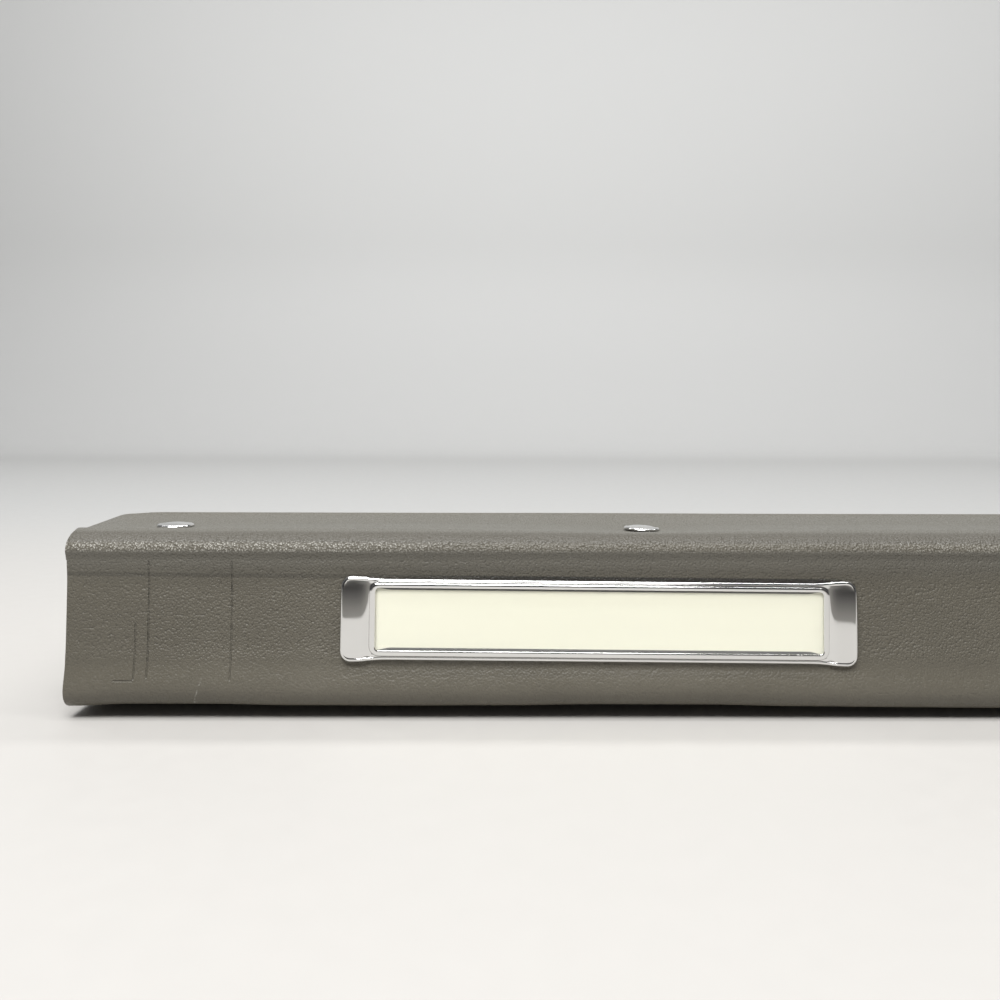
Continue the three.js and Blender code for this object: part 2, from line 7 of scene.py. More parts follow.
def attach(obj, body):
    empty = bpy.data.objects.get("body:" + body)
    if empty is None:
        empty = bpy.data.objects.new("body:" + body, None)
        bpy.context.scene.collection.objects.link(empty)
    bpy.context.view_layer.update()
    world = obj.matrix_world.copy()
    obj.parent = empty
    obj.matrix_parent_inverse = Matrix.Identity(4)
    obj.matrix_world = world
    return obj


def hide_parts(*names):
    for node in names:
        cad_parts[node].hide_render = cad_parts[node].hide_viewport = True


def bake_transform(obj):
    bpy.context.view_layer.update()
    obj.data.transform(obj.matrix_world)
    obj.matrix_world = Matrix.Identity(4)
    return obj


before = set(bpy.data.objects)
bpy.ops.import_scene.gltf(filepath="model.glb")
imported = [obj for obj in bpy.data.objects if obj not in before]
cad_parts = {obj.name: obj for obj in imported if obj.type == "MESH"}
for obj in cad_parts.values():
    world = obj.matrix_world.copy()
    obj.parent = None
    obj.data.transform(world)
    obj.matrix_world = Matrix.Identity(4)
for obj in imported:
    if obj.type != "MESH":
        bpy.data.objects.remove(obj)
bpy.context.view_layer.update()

mm = 0.001
halfDepth = 122.5  # the fore edge lies as far behind the origin as the spine lies in front of it
labelPlace = {  # the middle of the label frame on the spine, in mm; lean and turn in degrees
    'x': -14.35, 'height': 26.0, 'lean': 2.5, 'turn': 0.5, 'slope': 0.0087,
}


def clearSelection():
    if bpy.context.object and bpy.context.object.mode != 'OBJECT':
        bpy.ops.object.mode_set(mode='OBJECT')
    bpy.ops.object.select_all(action='DESELECT')


def makeActive(piece):
    clearSelection()
    piece.select_set(True)
    bpy.context.view_layer.objects.active = piece


def named(piece, name):
    piece.name = name
    piece.data.name = name
    return piece


def addModifier(piece, kind, **settings):
    makeActive(piece)
    modifier = piece.modifiers.new(kind.title(), kind)
    for key, value in settings.items():
        setattr(modifier, key, value)
    bpy.ops.object.modifier_apply(modifier=modifier.name)
    return piece


def smoothByAngle(piece, degrees):
    makeActive(piece)
    bpy.ops.object.shade_smooth_by_angle(angle=math.radians(degrees))
    return piece


def selectParts(piece, kind, test):
    # in edit mode: only the edges or faces that pass the test are left selected
    bpy.context.tool_settings.mesh_select_mode = (False, kind == 'edges', kind == 'faces')
    bpy.ops.mesh.select_all(action='DESELECT')
    mesh = bmesh.from_edit_mesh(piece.data)
    for part in getattr(mesh, kind):
        if test(part):
            part.select = True
    bmesh.update_edit_mesh(piece.data)


def recalculateOutside(piece):
    makeActive(piece)
    bpy.ops.object.mode_set(mode='EDIT')
    bpy.ops.mesh.select_all(action='SELECT')
    bpy.ops.mesh.normals_make_consistent(inside=False)
    bpy.ops.object.mode_set(mode='OBJECT')


def joinPieces(pieces):
    clearSelection()
    for piece in pieces:
        piece.select_set(True)
    bpy.context.view_layer.objects.active = pieces[0]
    bpy.ops.object.join()
    return pieces[0]


def twin(piece, name):
    copy = piece.copy()
    copy.data = piece.data.copy()
    bpy.context.scene.collection.objects.link(copy)
    return named(copy, name)


def newPlane(name):
    clearSelection()
    bpy.ops.mesh.primitive_plane_add(size=1.0)
    return named(bpy.context.object, name)


def finished(piece, material, body, slot, *nodes):
    piece.data.materials.clear()
    piece.data.materials.append(material)
    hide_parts(*nodes)
    if body:
        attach(piece, body)
    return piece


class Signal:
    # wraps a socket, so that sums on sockets read as plain arithmetic
    def __init__(self, finish, socket):
        self.finish = finish
        self.socket = socket

    def maths(self, operation, other=None, swapped=False):
        values = {0: other, 1: self} if swapped else {0: self}
        if other is not None and not swapped:
            values[1] = other
        return self.finish.add('ShaderNodeMath', {'operation': operation}, values)

    def __add__(self, other): return self.maths('ADD', other)
    def __radd__(self, other): return self.maths('ADD', other, True)
    def __sub__(self, other): return self.maths('SUBTRACT', other)
    def __rsub__(self, other): return self.maths('SUBTRACT', other, True)
    def __mul__(self, other): return self.maths('MULTIPLY', other)
    def __rmul__(self, other): return self.maths('MULTIPLY', other, True)
    def __truediv__(self, other): return self.maths('DIVIDE', other)
    def __abs__(self): return self.maths('ABSOLUTE')

    def most(self, other): return self.maths('MAXIMUM', other)

    def between(self, low, high, start=0.0, end=1.0):  # soft step from start to end
        return self.finish.add('ShaderNodeMapRange', {'interpolation_type': 'SMOOTHSTEP'}, {
            'Value': self, 'From Min': low, 'From Max': high, 'To Min': start, 'To Max': end})

    def falling(self, low, high): return self.between(low, high, 1.0, 0.0)

    def band(self, rise, fall): return self.between(*rise) * self.falling(*fall)


def weighted(weights, *signals):
    total = signals[0] * weights[0]
    for signal, weight in zip(signals[1:], weights[1:]):
        total = total + signal * weight
    return total


class Finish:
    def __init__(self, name, follows=None, **surface):
        self.material = bpy.data.materials.new(name)
        self.material.use_nodes = True
        self.tree = self.material.node_tree
        self.surface = self.tree.nodes['Principled BSDF']
        if follows:  # a place kept in the mesh, so that the pattern stays on the sheet when it bends
            self.place = self.add('ShaderNodeAttribute', {'attribute_name': follows}, output='Vector')
        else:
            self.place = self.add('ShaderNodeTexCoord', output='Object')
        for key, value in surface.items():
            self.surface.inputs[key.replace('_', ' ')].default_value = value

    def connect(self, target, value):
        if isinstance(value, Signal):
            self.tree.links.new(value.socket, target)
        elif value is not None:
            target.default_value = value

    def add(self, kind, options=None, values=None, output=0):
        node = self.tree.nodes.new(kind)
        for key, value in (options or {}).items():
            setattr(node, key, value)
        for key, value in (values or {}).items():
            self.connect(node.inputs[key], value)
        return Signal(self, node.outputs[output])

    def noise(self, scale, detail=2.0, roughness=0.5, place=None, distortion=0.0):
        return self.add('ShaderNodeTexNoise', None, {
            'Vector': place or self.place, 'Scale': scale, 'Detail': detail,
            'Roughness': roughness, 'Distortion': distortion})

    def cells(self, scale, smooth):
        return self.add('ShaderNodeTexVoronoi', {'feature': 'SMOOTH_F1'}, {
            'Vector': self.place, 'Scale': scale, 'Smoothness': smooth}, 'Distance')

    def stretched(self, scale):
        return self.add('ShaderNodeMapping', None, {'Vector': self.place, 'Scale': scale})

    def parts(self):
        node = self.tree.nodes.new('ShaderNodeSeparateXYZ')
        self.tree.links.new(self.place.socket, node.inputs[0])
        return [Signal(self, node.outputs[index]) for index in range(3)]

    def mixed(self, factor, first, second):
        return self.add('ShaderNodeMix', {'data_type': 'RGBA'}, {0: factor, 6: first, 7: second}, 2)

    def colour(self, value):
        self.connect(self.surface.inputs['Base Color'], value)

    def rough(self, value):
        self.connect(self.surface.inputs['Roughness'], value)

    def bump(self, height, distance, strength=1.0, under=None):
        values = {'Height': height, 'Distance': distance, 'Strength': strength}
        if under is not None:
            values['Normal'] = under
        return self.add('ShaderNodeBump', None, values)

    def relief(self, value):
        self.connect(self.surface.inputs['Normal'], value)


def labelAxes(x, z):
    # how far along the label, and how far above its long axis, which falls a little to the right
    along = x - labelPlace['x'] * mm
    return along, z - labelPlace['height'] * mm + along * labelPlace['slope']


vinylLook = {
    'dark': (0.096, 0.0868, 0.0662, 1), 'pale': (0.1205, 0.1098, 0.0852, 1),
    # the two facet colours on the next line are painted shade and painted light
    'facetPaintedShade': (0.084, 0.077, 0.062, 1), 'paintedLight': (0.132, 0.126, 0.108, 1),
    # the first colour on the next line is a painted glint on the grain tips; the second is the real scratch
    'paintedGlint': (0.40, 0.385, 0.345, 1), 'scratched': (0.34, 0.33, 0.30, 1),
    # the last colour on the next line is painted shadow along the gap above the label frame
    'pressed': (0.055, 0.051, 0.042, 1), 'paintedGapShadow': (0.014, 0.013, 0.012, 1),
    'pebble': 1750.0, 'pebbleSoft': 0.25, 'pebbleSlope': 1.6, 'pebbleDepth': 0.00024,
    'fineGrain': 3200.0, 'warp': 700.0, 'blotch': 26.0, 'sway': 55.0, 'swayDepth': 0.0009,
    'grainWeights': (0.72, 0.40, 0.38), 'toneWeights': (0.55, 0.3, 0.15), 'tipWeights': (0.40, 0.60),
    'roughWeights': (0.5, 0.6, 0.2), 'roughSpan': (0.15, 1.0, 0.30, 0.56),
    'toneSpan': (0.25, 0.75), 'tipSpan': (0.58, 0.70),
}
vinylZones = {  # where a soft step starts and ends, in metres, and in some its two levels
    'face': (-0.119, -0.1165), 'lowerFold': (0.0130, 0.0185), 'leftEnd': (-0.146, -0.124),
    'strip': (0.0462, 0.0470), 'stripRear': (-0.0880, -0.0820),
    'crest': (0.0137, 0.0150), 'crestSlope': 0.3,
    'underBend': ((0.0355, 0.0425), (0.0444, 0.0452)),
    'bend': ((0.0439, 0.0447), (0.0461, 0.0475)), 'bendRear': (-0.1184, -0.1174),
    'glintLeft': (-0.075, -0.045, 1.0, 0.25), 'glintRight': (0.05, 0.08, 0.25, 0.6),
    'gap': ((0.0104, 0.0107), (0.0114, 0.0120)), 'gapShadowLeft': (-0.09, -0.03, 0.35, 1.0),
    'gapShadowRight': (0.044, 0.056),
}
vinylShares = {  # how strongly each zone shows
    'lowerFold': 0.60, 'leftEnd': 0.15, 'strip': 0.85, 'underBend': 0.55, 'lines': 0.16, 'gap': 0.8,
    'paintedGlint': 0.8, 'scuff': 0.65,
}
ruleLook = {  # thin pressed lines at the left end of the spine, in metres
    'uprights': [(-0.1337, 0.0110, 0.0420), (-0.1118, 0.0104, 0.0420), (-0.1371, 0.0105, 0.0256)],
    'foot': (-0.1426, -0.1371, 0.0105), 'flank': (0.000064, 0.000288), 'fade': 0.0006,
    'footFade': 0.0003, 'depth': 0.00022,
}
scuffLook = {  # a pale scratch that runs down over the lower fold, in metres
    'slope': 0.31, 'start': 0.1227, 'width': 0.00022, 'flank': (0.2, 1.4), 'top': (0.0105, 0.0125),
    'breaks': 900.0, 'breakSpan': (0.42, 0.62),
}


def pressedLines(x, z):
    rules, fade, lines = ruleLook, ruleLook['fade'], None
    for lineX, low, high in rules['uprights']:
        across = abs(x - lineX).falling(*rules['flank'])
        mark = across * z.band((low, low + fade), (high - fade, high))
        lines = mark if lines is None else lines.most(mark)
    left, right, footZ = rules['foot']
    foot = abs(z - footZ).falling(*rules['flank'])
    foot = foot * x.between(left, left + fade) * x.falling(right - rules['footFade'], right)
    return lines.most(foot)


def scuffMark(vinyl, x, z):
    scuff = scuffLook
    across = abs(x - (z * scuff['slope'] - scuff['start'])) / scuff['width']
    mark = across.falling(*scuff['flank']) * z.falling(*scuff['top'])
    return mark * vinyl.noise(scuff['breaks'], 1.0).between(*scuff['breakSpan'])


def vinylMaterial():
    look, zones, shares = vinylLook, vinylZones, vinylShares
    vinyl = Finish('grainedVinyl', 'restPlace', Specular_IOR_Level=0.5)
    x, y, z = vinyl.parts()
    warped = vinyl.noise(look['warp'], 2.0, 0.55, distortion=0.4)
    cells = vinyl.cells(look['pebble'], look['pebbleSoft'])
    pebbles = 1.0 - cells * cells * look['pebbleSlope']
    fine = vinyl.noise(look['fineGrain'], 3.0, 0.6)
    blotches = vinyl.noise(look['blotch'], 3.0, 0.6)
    onFace = y.falling(*zones['face'])

    # the grain is stretched smoother round the lower fold and towards the left end
    smoothFold = 1.0 - z.falling(*zones['lowerFold']) * onFace * shares['lowerFold']
    smoothEnd = 1.0 - x.falling(*zones['leftEnd']) * onFace * shares['leftEnd']
    grain = weighted(look['grainWeights'], pebbles, fine, warped) * smoothFold * smoothEnd

    # painted light: the facet above the upper bend is painted darker low down and paler behind the crest as
    # a sheen, and the face below the upper bend is painted paler
    tone = weighted(look['toneWeights'], blotches, warped, fine).between(*look['toneSpan'])
    shaded = vinyl.mixed(tone, look['dark'], look['pale'])
    strip = z.between(*zones['strip']) * y.falling(*zones['stripRear'])
    behindCrest = (z + y * zones['crestSlope']).between(*zones['crest'])
    facet = vinyl.mixed(behindCrest, look['facetPaintedShade'], look['paintedLight'])
    shaded = vinyl.mixed(strip * shares['strip'], shaded, facet)
    # painted light: the face just under the upper bend is painted paler, standing in for light that falls on
    # it from below
    underBend = z.band(*zones['underBend']) * onFace
    shaded = vinyl.mixed(underBend * shares['underBend'], shaded, look['paintedLight'])

    # painted shade: the pressed lines are painted darker as well as sunk by the bump, as shade in their
    # grooves
    lines = pressedLines(x, z) * onFace
    shaded = vinyl.mixed(lines * shares['lines'], shaded, look['pressed'])

    # painted shadow: a dark line is painted on the sheet just above the upper side of the label frame, as
    # the shade of a gap between them
    fromLabel = labelAxes(x, z)[1]
    gap = fromLabel.band(*zones['gap']) * x.between(*zones['gapShadowLeft']) * x.falling(*zones['gapShadowRight'])
    shaded = vinyl.mixed(gap * onFace * shares['gap'], shaded, look['paintedGapShadow'])

    # painted highlight: the tips of the grain are painted pale along the upper bend as glints, most of all
    # towards the ends
    onBend = z.band(*zones['bend']) * y.falling(*zones['bendRear'])
    tips = weighted(look['tipWeights'], pebbles, fine).between(*look['tipSpan'])
    outerEnds = x.between(*zones['glintLeft']).most(x.between(*zones['glintRight']))
    shaded = vinyl.mixed(tips * onBend * outerEnds * shares['paintedGlint'], shaded, look['paintedGlint'])

    scuff = scuffMark(vinyl, x, z) * onFace
    vinyl.colour(vinyl.mixed(scuff * shares['scuff'], shaded, look['scratched']))
    roughness = weighted(look['roughWeights'], fine, 1.0 - pebbles, blotches)
    vinyl.rough(roughness.between(*look['roughSpan']))
    sway = vinyl.bump(vinyl.noise(look['sway'], 2.0), look['swayDepth'], 0.5)
    pressed = vinyl.bump(1.0 - lines, ruleLook['depth'], 1.0, sway)
    vinyl.relief(vinyl.bump(grain, look['pebbleDepth'], 1.0, pressed))
    return vinyl.material


chromeLook = {
    'dark': (0.70, 0.70, 0.695, 1), 'pale': (0.80, 0.795, 0.78, 1), 'haze': 60.0,
    'roughSpan': (0.3, 0.75, 0.03, 0.085), 'specks': 1500.0, 'speckSpan': (0.62, 0.78), 'speckRough': 0.03,
    'sway': 70.0, 'swayDepth': 0.00006, 'swayStrength': 0.16,
}


def chromeMaterial():
    look = chromeLook
    chrome = Finish('brightChrome', Metallic=1.0)
    haze = chrome.noise(look['haze'], 3.0, 0.6)
    specks = chrome.noise(look['specks'], 2.0).between(*look['speckSpan'])
    chrome.colour(chrome.mixed(haze, look['dark'], look['pale']))
    chrome.rough(haze.between(*look['roughSpan']) + specks * look['speckRough'])
    sway = chrome.noise(look['sway'], 1.0)
    chrome.relief(chrome.bump(sway, look['swayDepth'], look['swayStrength']))
    return chrome.material


nickelLook = {  # drawn lines along X in the sheet metal, fainter in the ring wire
    'drawn': 320.0, 'stretch': (0.05, 1.0, 1.0), 'haze': 70.0, 'depth': 0.00003,
    'toneWeights': (0.6, 0.4), 'roughWeights': (0.5, 0.5), 'roughSpan': (0.25, 0.75),
    'drawnNickel': {'dark': (0.56, 0.56, 0.565, 1), 'pale': (0.72, 0.72, 0.725, 1), 'rough': (0.20, 0.38),
                    'strength': 0.5},
    'ringSteel': {'dark': (0.70, 0.70, 0.705, 1), 'pale': (0.82, 0.82, 0.825, 1), 'rough': (0.09, 0.18),
                  'strength': 0.06},
}


def nickelMaterial(name):
    look, own = nickelLook, nickelLook[name]
    nickel = Finish(name, Metallic=1.0)
    drawn = nickel.noise(look['drawn'], 4.0, 0.6, nickel.stretched(look['stretch']))
    haze = nickel.noise(look['haze'], 2.0)
    nickel.colour(nickel.mixed(weighted(look['toneWeights'], haze, drawn), own['dark'], own['pale']))
    roughness = weighted(look['roughWeights'], haze, drawn)
    nickel.rough(roughness.between(*look['roughSpan'], *own['rough']))
    nickel.relief(nickel.bump(drawn, look['depth'], own['strength']))
    return nickel.material


cardLook = {  # distances in metres
    # the last colour on the next line is painted shade for the card's long sides under the frame
    'dark': (0.86, 0.85, 0.69, 1), 'pale': (0.895, 0.885, 0.725, 1), 'edge': (0.012, 0.012, 0.011, 1),
    'fibre': 1400.0, 'stretch': (0.35, 1.0, 1.0), 'fibreDepth': 0.00002, 'fibreStrength': 0.6,
    'cloud': 28.0, 'toneWeights': (0.6, 0.4), 'roughSpan': (0.2, 0.8, 0.62, 0.78),
    'upperShadeLine': 0.0084, 'lowerShadeLine': 0.0079, 'flank': (-0.00006, 0.0001),
    'shadeEnds': (0.055, 0.0594), 'upperShadeWidth': 0.0005, 'lowerShadeWidth': 0.0007,
}


def cardMaterial():
    look = cardLook
    card = Finish('creamCard')
    fibre = card.noise(look['fibre'], 3.0, 0.65, card.stretched(look['stretch']))
    cloud = card.noise(look['cloud'], 2.0)
    x, y, z = card.parts()
    along, level = labelAxes(x, z)
    paper = card.mixed(weighted(look['toneWeights'], cloud, fibre), look['dark'], look['pale'])
    shadeReach = abs(along).falling(*look['shadeEnds'])  # painted shade along the long sides of the card, full in the middle and fading towards the ends
    upper = (level + shadeReach * look['upperShadeWidth'] - look['upperShadeLine']).between(*look['flank'])
    lower = (shadeReach * look['lowerShadeWidth'] - level - look['lowerShadeLine']).between(*look['flank'])
    # painted shade: near-black is painted along the card's long sides under the frame
    card.colour(card.mixed(upper.most(lower), paper, look['edge']))
    card.rough(fibre.between(*look['roughSpan']))
    card.relief(card.bump(fibre, look['fibreDepth'], look['fibreStrength']))
    return card.material


filmLook = {
    'dark': (0.82, 0.82, 0.79, 1), 'pale': (0.88, 0.88, 0.85, 1), 'streaks': 40.0,
    'stretch': (0.2, 1.0, 1.0), 'alphaSpan': (0.3, 0.7, 0.06, 0.12),
}


def filmMaterial():
    look = filmLook
    film = Finish('clearFilm', Roughness=0.05, IOR=1.45)
    streaks = film.noise(look['streaks'], 2.0, 0.5, film.stretched(look['stretch']))
    film.colour(film.mixed(streaks, look['dark'], look['pale']))
    film.connect(film.surface.inputs['Alpha'], streaks.between(*look['alphaSpan']))
    return film.material


vinyl = vinylMaterial()
chrome = chromeMaterial()
nickel = nickelMaterial('drawnNickel')
ringSteel = nickelMaterial('ringSteel')
card = cardMaterial()
film = filmMaterial()
print('materials ready')

sheet = {
    'length': 311.0, 'thickness': 2.2, 'foldRadius': 4.8, 'lift': 3.0, 'liftLength': 40.0, 'depth': 245.0,
    'bendRadius': 2.8, 'facetTilt': 24.0, 'hollow': 3.0, 'lean': math.tan(math.radians(2.5)), 'bulge': 2.0,
    'frontCrest': 49.6, 'frontCrestDepth': 10.0, 'frontCrestRadius': 6.0,
    'rearCrest': 50.8, 'rearCrestDepth': 38.0, 'bend': 26.0, 'corner': 5.0,
    'flatLow': 15.5, 'flatHigh': 42.0, 'seatHeight': 48.7, 'seatFront': 16.25, 'seatRear': 28.75,
    'columns': 150, 'rimRound': 0.45, 'rivetPitch': 133.35, 'rivetDepth': 22.5, 'coversApart': 0.3,
    'fallRange': (0.01, 0.6), 'halvings': 50, 'leastStep': 0.05,
}
sheetHills = [  # low rises and dips of the upper cover: rise, x, reach along it, depth, reach in depth
    (-0.85, 0.0, 17, sheet['rivetDepth'], 9.5),  # the dimple at the middle rivet
    (-0.3, sheet['rivetPitch'], 13, sheet['rivetDepth'], 9.5),
    (0.55, -67.0, 42, 21, 9), (0.45, 67.0, 42, 21, 9),  # the sheet lifts a little between its rivets
    (-1.0, -4, 42, 8.5, 5.5),  # the middle rivet pulls the front crest down
    (-0.12, 45, 40, 38, 12), (0.12, -15, 35, 38, 14),
]
sheetSteps = [(-0.3, 14, 18), (-0.2, 29, 38), (0.5, 90, 200)]  # rise, from depth, to depth
foldWave = [  # how far the lower fold rises and sags: x, rise
    (-155, -0.15), (-139, 0.45), (-120, 0.45), (-94, 0.08), (-67, 0.0), (-40, 0.1), (-14, 0.38),
    (13, 0.34), (40, -0.12), (67, -0.35), (91, -0.5), (120, -0.2), (155, 0.1),
]
freeEnd = {  # the left and right ends of the upper cover hang straighter
    'reach': (147, 156), 'until': 40, 'blendIn': (11, 15), 'height': 49.0, 'slope': 0.032, 'from': 15,
    'rearDrop': 0.5, 'rearReach': (45, 95),
}
coverWave = {'rise': 0.2, 'length': 27.0, 'start': (60, 120), 'end': (200, 238)}
faceForm = {  # the spine bulges softly into its bends: amount, middle, reach
    'facet': (0.45, 5.2, 1.9), 'upper': (0.8, 41.8, 3.4), 'lower': (0.4, 14.5, 3.4),
    'lowerFramed': 0.6, 'framedReach': (64, 74),
}
labelDent = {  # the sheet is pressed in round the label frame: amount, middle, reach
    'above': (0.3, 12.1, 1.1), 'below': (0.2, -12.0, 1.3), 'beside': (0.22, 70.2, 1.4),
    'longSides': (60, 74), 'shortSides': (9, 13), 'pressed': 0.1, 'width': (66, 73), 'height': (10, 13.5),
}
faceWave = {'rise': 0.18, 'length': 19.0, 'phase': 0.6, 'low': (12, 20), 'high': (36, 41), 'clear': (74, 92)}
sheetZones = {  # where each form is at work: heights and depths in millimetres
    'foldTop': 24, 'foldRear': 60, 'foldUp': (9, 24), 'foldBack': (12, 55), 'coverLow': 40, 'coverFront': 5,
    'facetPaintedShade': 43, 'facetRear': 10, 'faceUpper': 30, 'faceLower': 26, 'faceRear': 4,
    'labelLow': 10, 'labelTop': 44, 'labelRear': 6,
}
sheetTests = {  # metres and radians: which faces are the spine, and which edges aren't rounded
    'spineLow': 0.03, 'spineRear': -0.1185, 'seamRear': -0.115, 'seamReach': 0.0003, 'sharp': 1.0,
}


def arcPoints(depth, height, radius, start, end, steps):
    points = []
    for step in range(steps + 1):
        angle = math.radians(start + (end - start) * step / steps)
        points.append((depth + radius * math.cos(angle), height + radius * math.sin(angle)))
    return points


def easedPoints(first, last, alongDepth, steps):
    points = []
    for step in range(steps + 1):
        share = step / steps
        eased = share * share * (3 - 2 * share)
        depthShare, heightShare = (share, eased) if alongDepth else (eased, share)
        points.append((first[0] + (last[0] - first[0]) * depthShare,
                       first[1] + (last[1] - first[1]) * heightShare))
    return points


def straightPoints(first, last, steps):
    return [(first[0] + (last[0] - first[0]) * step / steps,
             first[1] + (last[1] - first[1]) * step / steps) for step in range(steps + 1)]


def withoutRepeats(points):
    kept = [points[0]]
    for point in points[1:]:
        if math.dist(point, kept[-1]) > sheet['leastStep']:
            kept.append(point)
    return kept


def spineDepth(height):
    return sheet['hollow'] - (sheet['flatHigh'] - height) * sheet['lean']


def lowerProfile():
    radius, lift = sheet['foldRadius'], sheet['lift']
    cornerStart = sheet['depth'] - sheet['corner']
    flatStart = (spineDepth(sheet['flatLow']), sheet['flatLow'])
    points = straightPoints((sheet['depth'], 0), (cornerStart, 0), 8)
    points += straightPoints((cornerStart, 0), (radius + sheet['liftLength'], 0), 24)
    points += easedPoints((radius + sheet['liftLength'], 0), (radius, lift), True, 12)
    points += arcPoints(radius, lift + radius, radius, -90, -180, 12)
    points += easedPoints((0, lift + radius), flatStart, False, 10)
    points += straightPoints(flatStart, (sheet['hollow'], sheet['flatHigh']), 32)
    return withoutRepeats(points)


def coverFall():
    # the angle, in radians, at which the upper cover comes down to lie just above the lower one
    low, high = sheet['fallRange']
    run = sheet['depth'] - sheet['rearCrestDepth'] - sheet['bend']
    for halving in range(sheet['halvings']):
        middle = (low + high) / 2
        drop = sheet['bend'] / middle * (1 - math.cos(middle)) + run * math.sin(middle)
        underside = sheet['rearCrest'] - drop - sheet['thickness'] * math.cos(middle)
        if underside > sheet['thickness'] + sheet['coversApart']:
            low = middle
        else:
            high = middle
    return (low + high) / 2


def upperProfile():
    radius, crestRadius = sheet['bendRadius'], sheet['frontCrestRadius']
    crestDepth, rearDepth = sheet['frontCrestDepth'], sheet['rearCrestDepth']
    facet = 90 + sheet['facetTilt']
    foldDepth, crestCentre = sheet['bulge'] + radius, sheet['frontCrest'] - crestRadius
    slant = (crestDepth - foldDepth) * math.cos(math.radians(facet))
    foldHeight = crestCentre + (crestRadius - radius + slant) / math.sin(math.radians(facet))
    seatStart, seatEnd = (sheet['seatFront'], sheet['seatHeight']), (sheet['seatRear'], sheet['seatHeight'])
    fall = coverFall()
    bendRadius = sheet['bend'] / fall
    points = easedPoints((sheet['hollow'], sheet['flatHigh']), (sheet['bulge'], foldHeight), False, 7)
    points += arcPoints(foldDepth, foldHeight, radius, 180, facet, 10)
    crest = arcPoints(crestDepth, crestCentre, crestRadius, facet, 90, 8)
    points += straightPoints(points[-1], crest[0], 6) + crest
    points += easedPoints((crestDepth, sheet['frontCrest']), seatStart, True, 10)
    points += straightPoints(seatStart, seatEnd, 12)
    points += easedPoints(seatEnd, (rearDepth, sheet['rearCrest']), True, 12)
    bendCentre = sheet['rearCrest'] - bendRadius
    points += arcPoints(rearDepth, bendCentre, bendRadius, 90, 90 - math.degrees(fall), 12)
    run = sheet['depth'] - rearDepth - sheet['bend']
    start = points[-1]
    end = (start[0] + run * math.cos(fall), start[1] - run * math.sin(fall))
    cornerStart = (end[0] - sheet['corner'] * math.cos(fall), end[1] + sheet['corner'] * math.sin(fall))
    points += straightPoints(start, cornerStart, 26) + straightPoints(cornerStart, end, 8)
    return withoutRepeats(points)


def hill(value, middle, width):
    return math.exp(-((value - middle) / width) ** 2)


def softStep(value, low, high):
    share = min(1.0, max(0.0, (value - low) / (high - low)))
    return share * share * (3 - 2 * share)


def waveAt(x):
    for (firstX, first), (lastX, last) in zip(foldWave, foldWave[1:]):
        if x <= lastX:
            return first + (last - first) * softStep(x, firstX, lastX)
    return foldWave[-1][1]


def labelLocal(x, height):  # place on the spine face, counted from the middle of the label frame
    turn = math.radians(labelPlace['turn'])
    dx, dy = x - labelPlace['x'], height - labelPlace['height']
    return dx * math.cos(turn) - dy * math.sin(turn), dx * math.sin(turn) + dy * math.cos(turn)


def shapeCover(x, depth, height):
    for rise, middleX, reachX, middleDepth, reachDepth in sheetHills:
        height += rise * hill(x, middleX, reachX) * hill(depth, middleDepth, reachDepth)
    for rise, start, end in sheetSteps:
        height += rise * softStep(depth, start, end)
    atEnd = softStep(abs(x), *freeEnd['reach'])
    if depth < freeEnd['until']:
        straight = freeEnd['height'] + freeEnd['slope'] * (depth - freeEnd['from'])
        height += atEnd * softStep(depth, *freeEnd['blendIn']) * (straight - height)
    else:
        height -= atEnd * freeEnd['rearDrop'] * (1 - softStep(depth, *freeEnd['rearReach']))
    swell = softStep(depth, *coverWave['start']) * (1 - softStep(depth, *coverWave['end']))
    return height + coverWave['rise'] * math.sin(x / coverWave['length']) * swell


def dentAt(x, height):
    u, v = labelLocal(x, height)
    dent = labelDent
    amounts = {side: dent[side][0] * hill(v, *dent[side][1:]) * (1 - softStep(abs(u), *dent['longSides']))
               for side in ('above', 'below')}
    amount, middle, reach = dent['beside']
    beside = amount * hill(abs(u), middle, reach) * (1 - softStep(abs(v), *dent['shortSides']))
    pressed = (1 - softStep(abs(u), *dent['width'])) * (1 - softStep(abs(v), *dent['height']))
    swell = softStep(height, *faceWave['low']) * (1 - softStep(height, *faceWave['high']))
    swell *= softStep(abs(u), *faceWave['clear'])
    wave = faceWave['rise'] * math.sin(x / faceWave['length'] + faceWave['phase']) * swell
    return amounts['above'] + amounts['below'] + beside + dent['pressed'] * pressed + wave


def shapeSheet(x, depth, height):
    # gives the plain profile its waves, its dimples at the rivets and its dent round the label frame
    zones = sheetZones
    if height < zones['foldTop'] and depth < zones['foldRear']:
        share = (1 - softStep(height, *zones['foldUp'])) * (1 - softStep(depth, *zones['foldBack']))
        height += waveAt(x) * share
    if depth > zones['coverFront'] and height > zones['coverLow']:
        height = shapeCover(x, depth, height)
    if height > zones['facetPaintedShade'] and depth < zones['facetRear']:
        amount, middle, reach = faceForm['facet']
        height += amount * hill(depth, middle, reach)
    if height > zones['faceUpper'] and depth < zones['faceRear']:
        amount, middle, reach = faceForm['upper']
        depth -= amount * hill(height, middle, reach)
    if height < zones['faceLower'] and depth < zones['faceRear']:
        amount, middle, reach = faceForm['lower']
        framed = 1 - softStep(abs(x - labelPlace['x']), *faceForm['framedReach'])
        depth -= amount * hill(height, middle, reach) * (1 - faceForm['lowerFramed'] * framed)
    if zones['labelLow'] < height < zones['labelTop'] and depth < zones['labelRear']:
        depth += dentAt(x, height)
    return depth, height


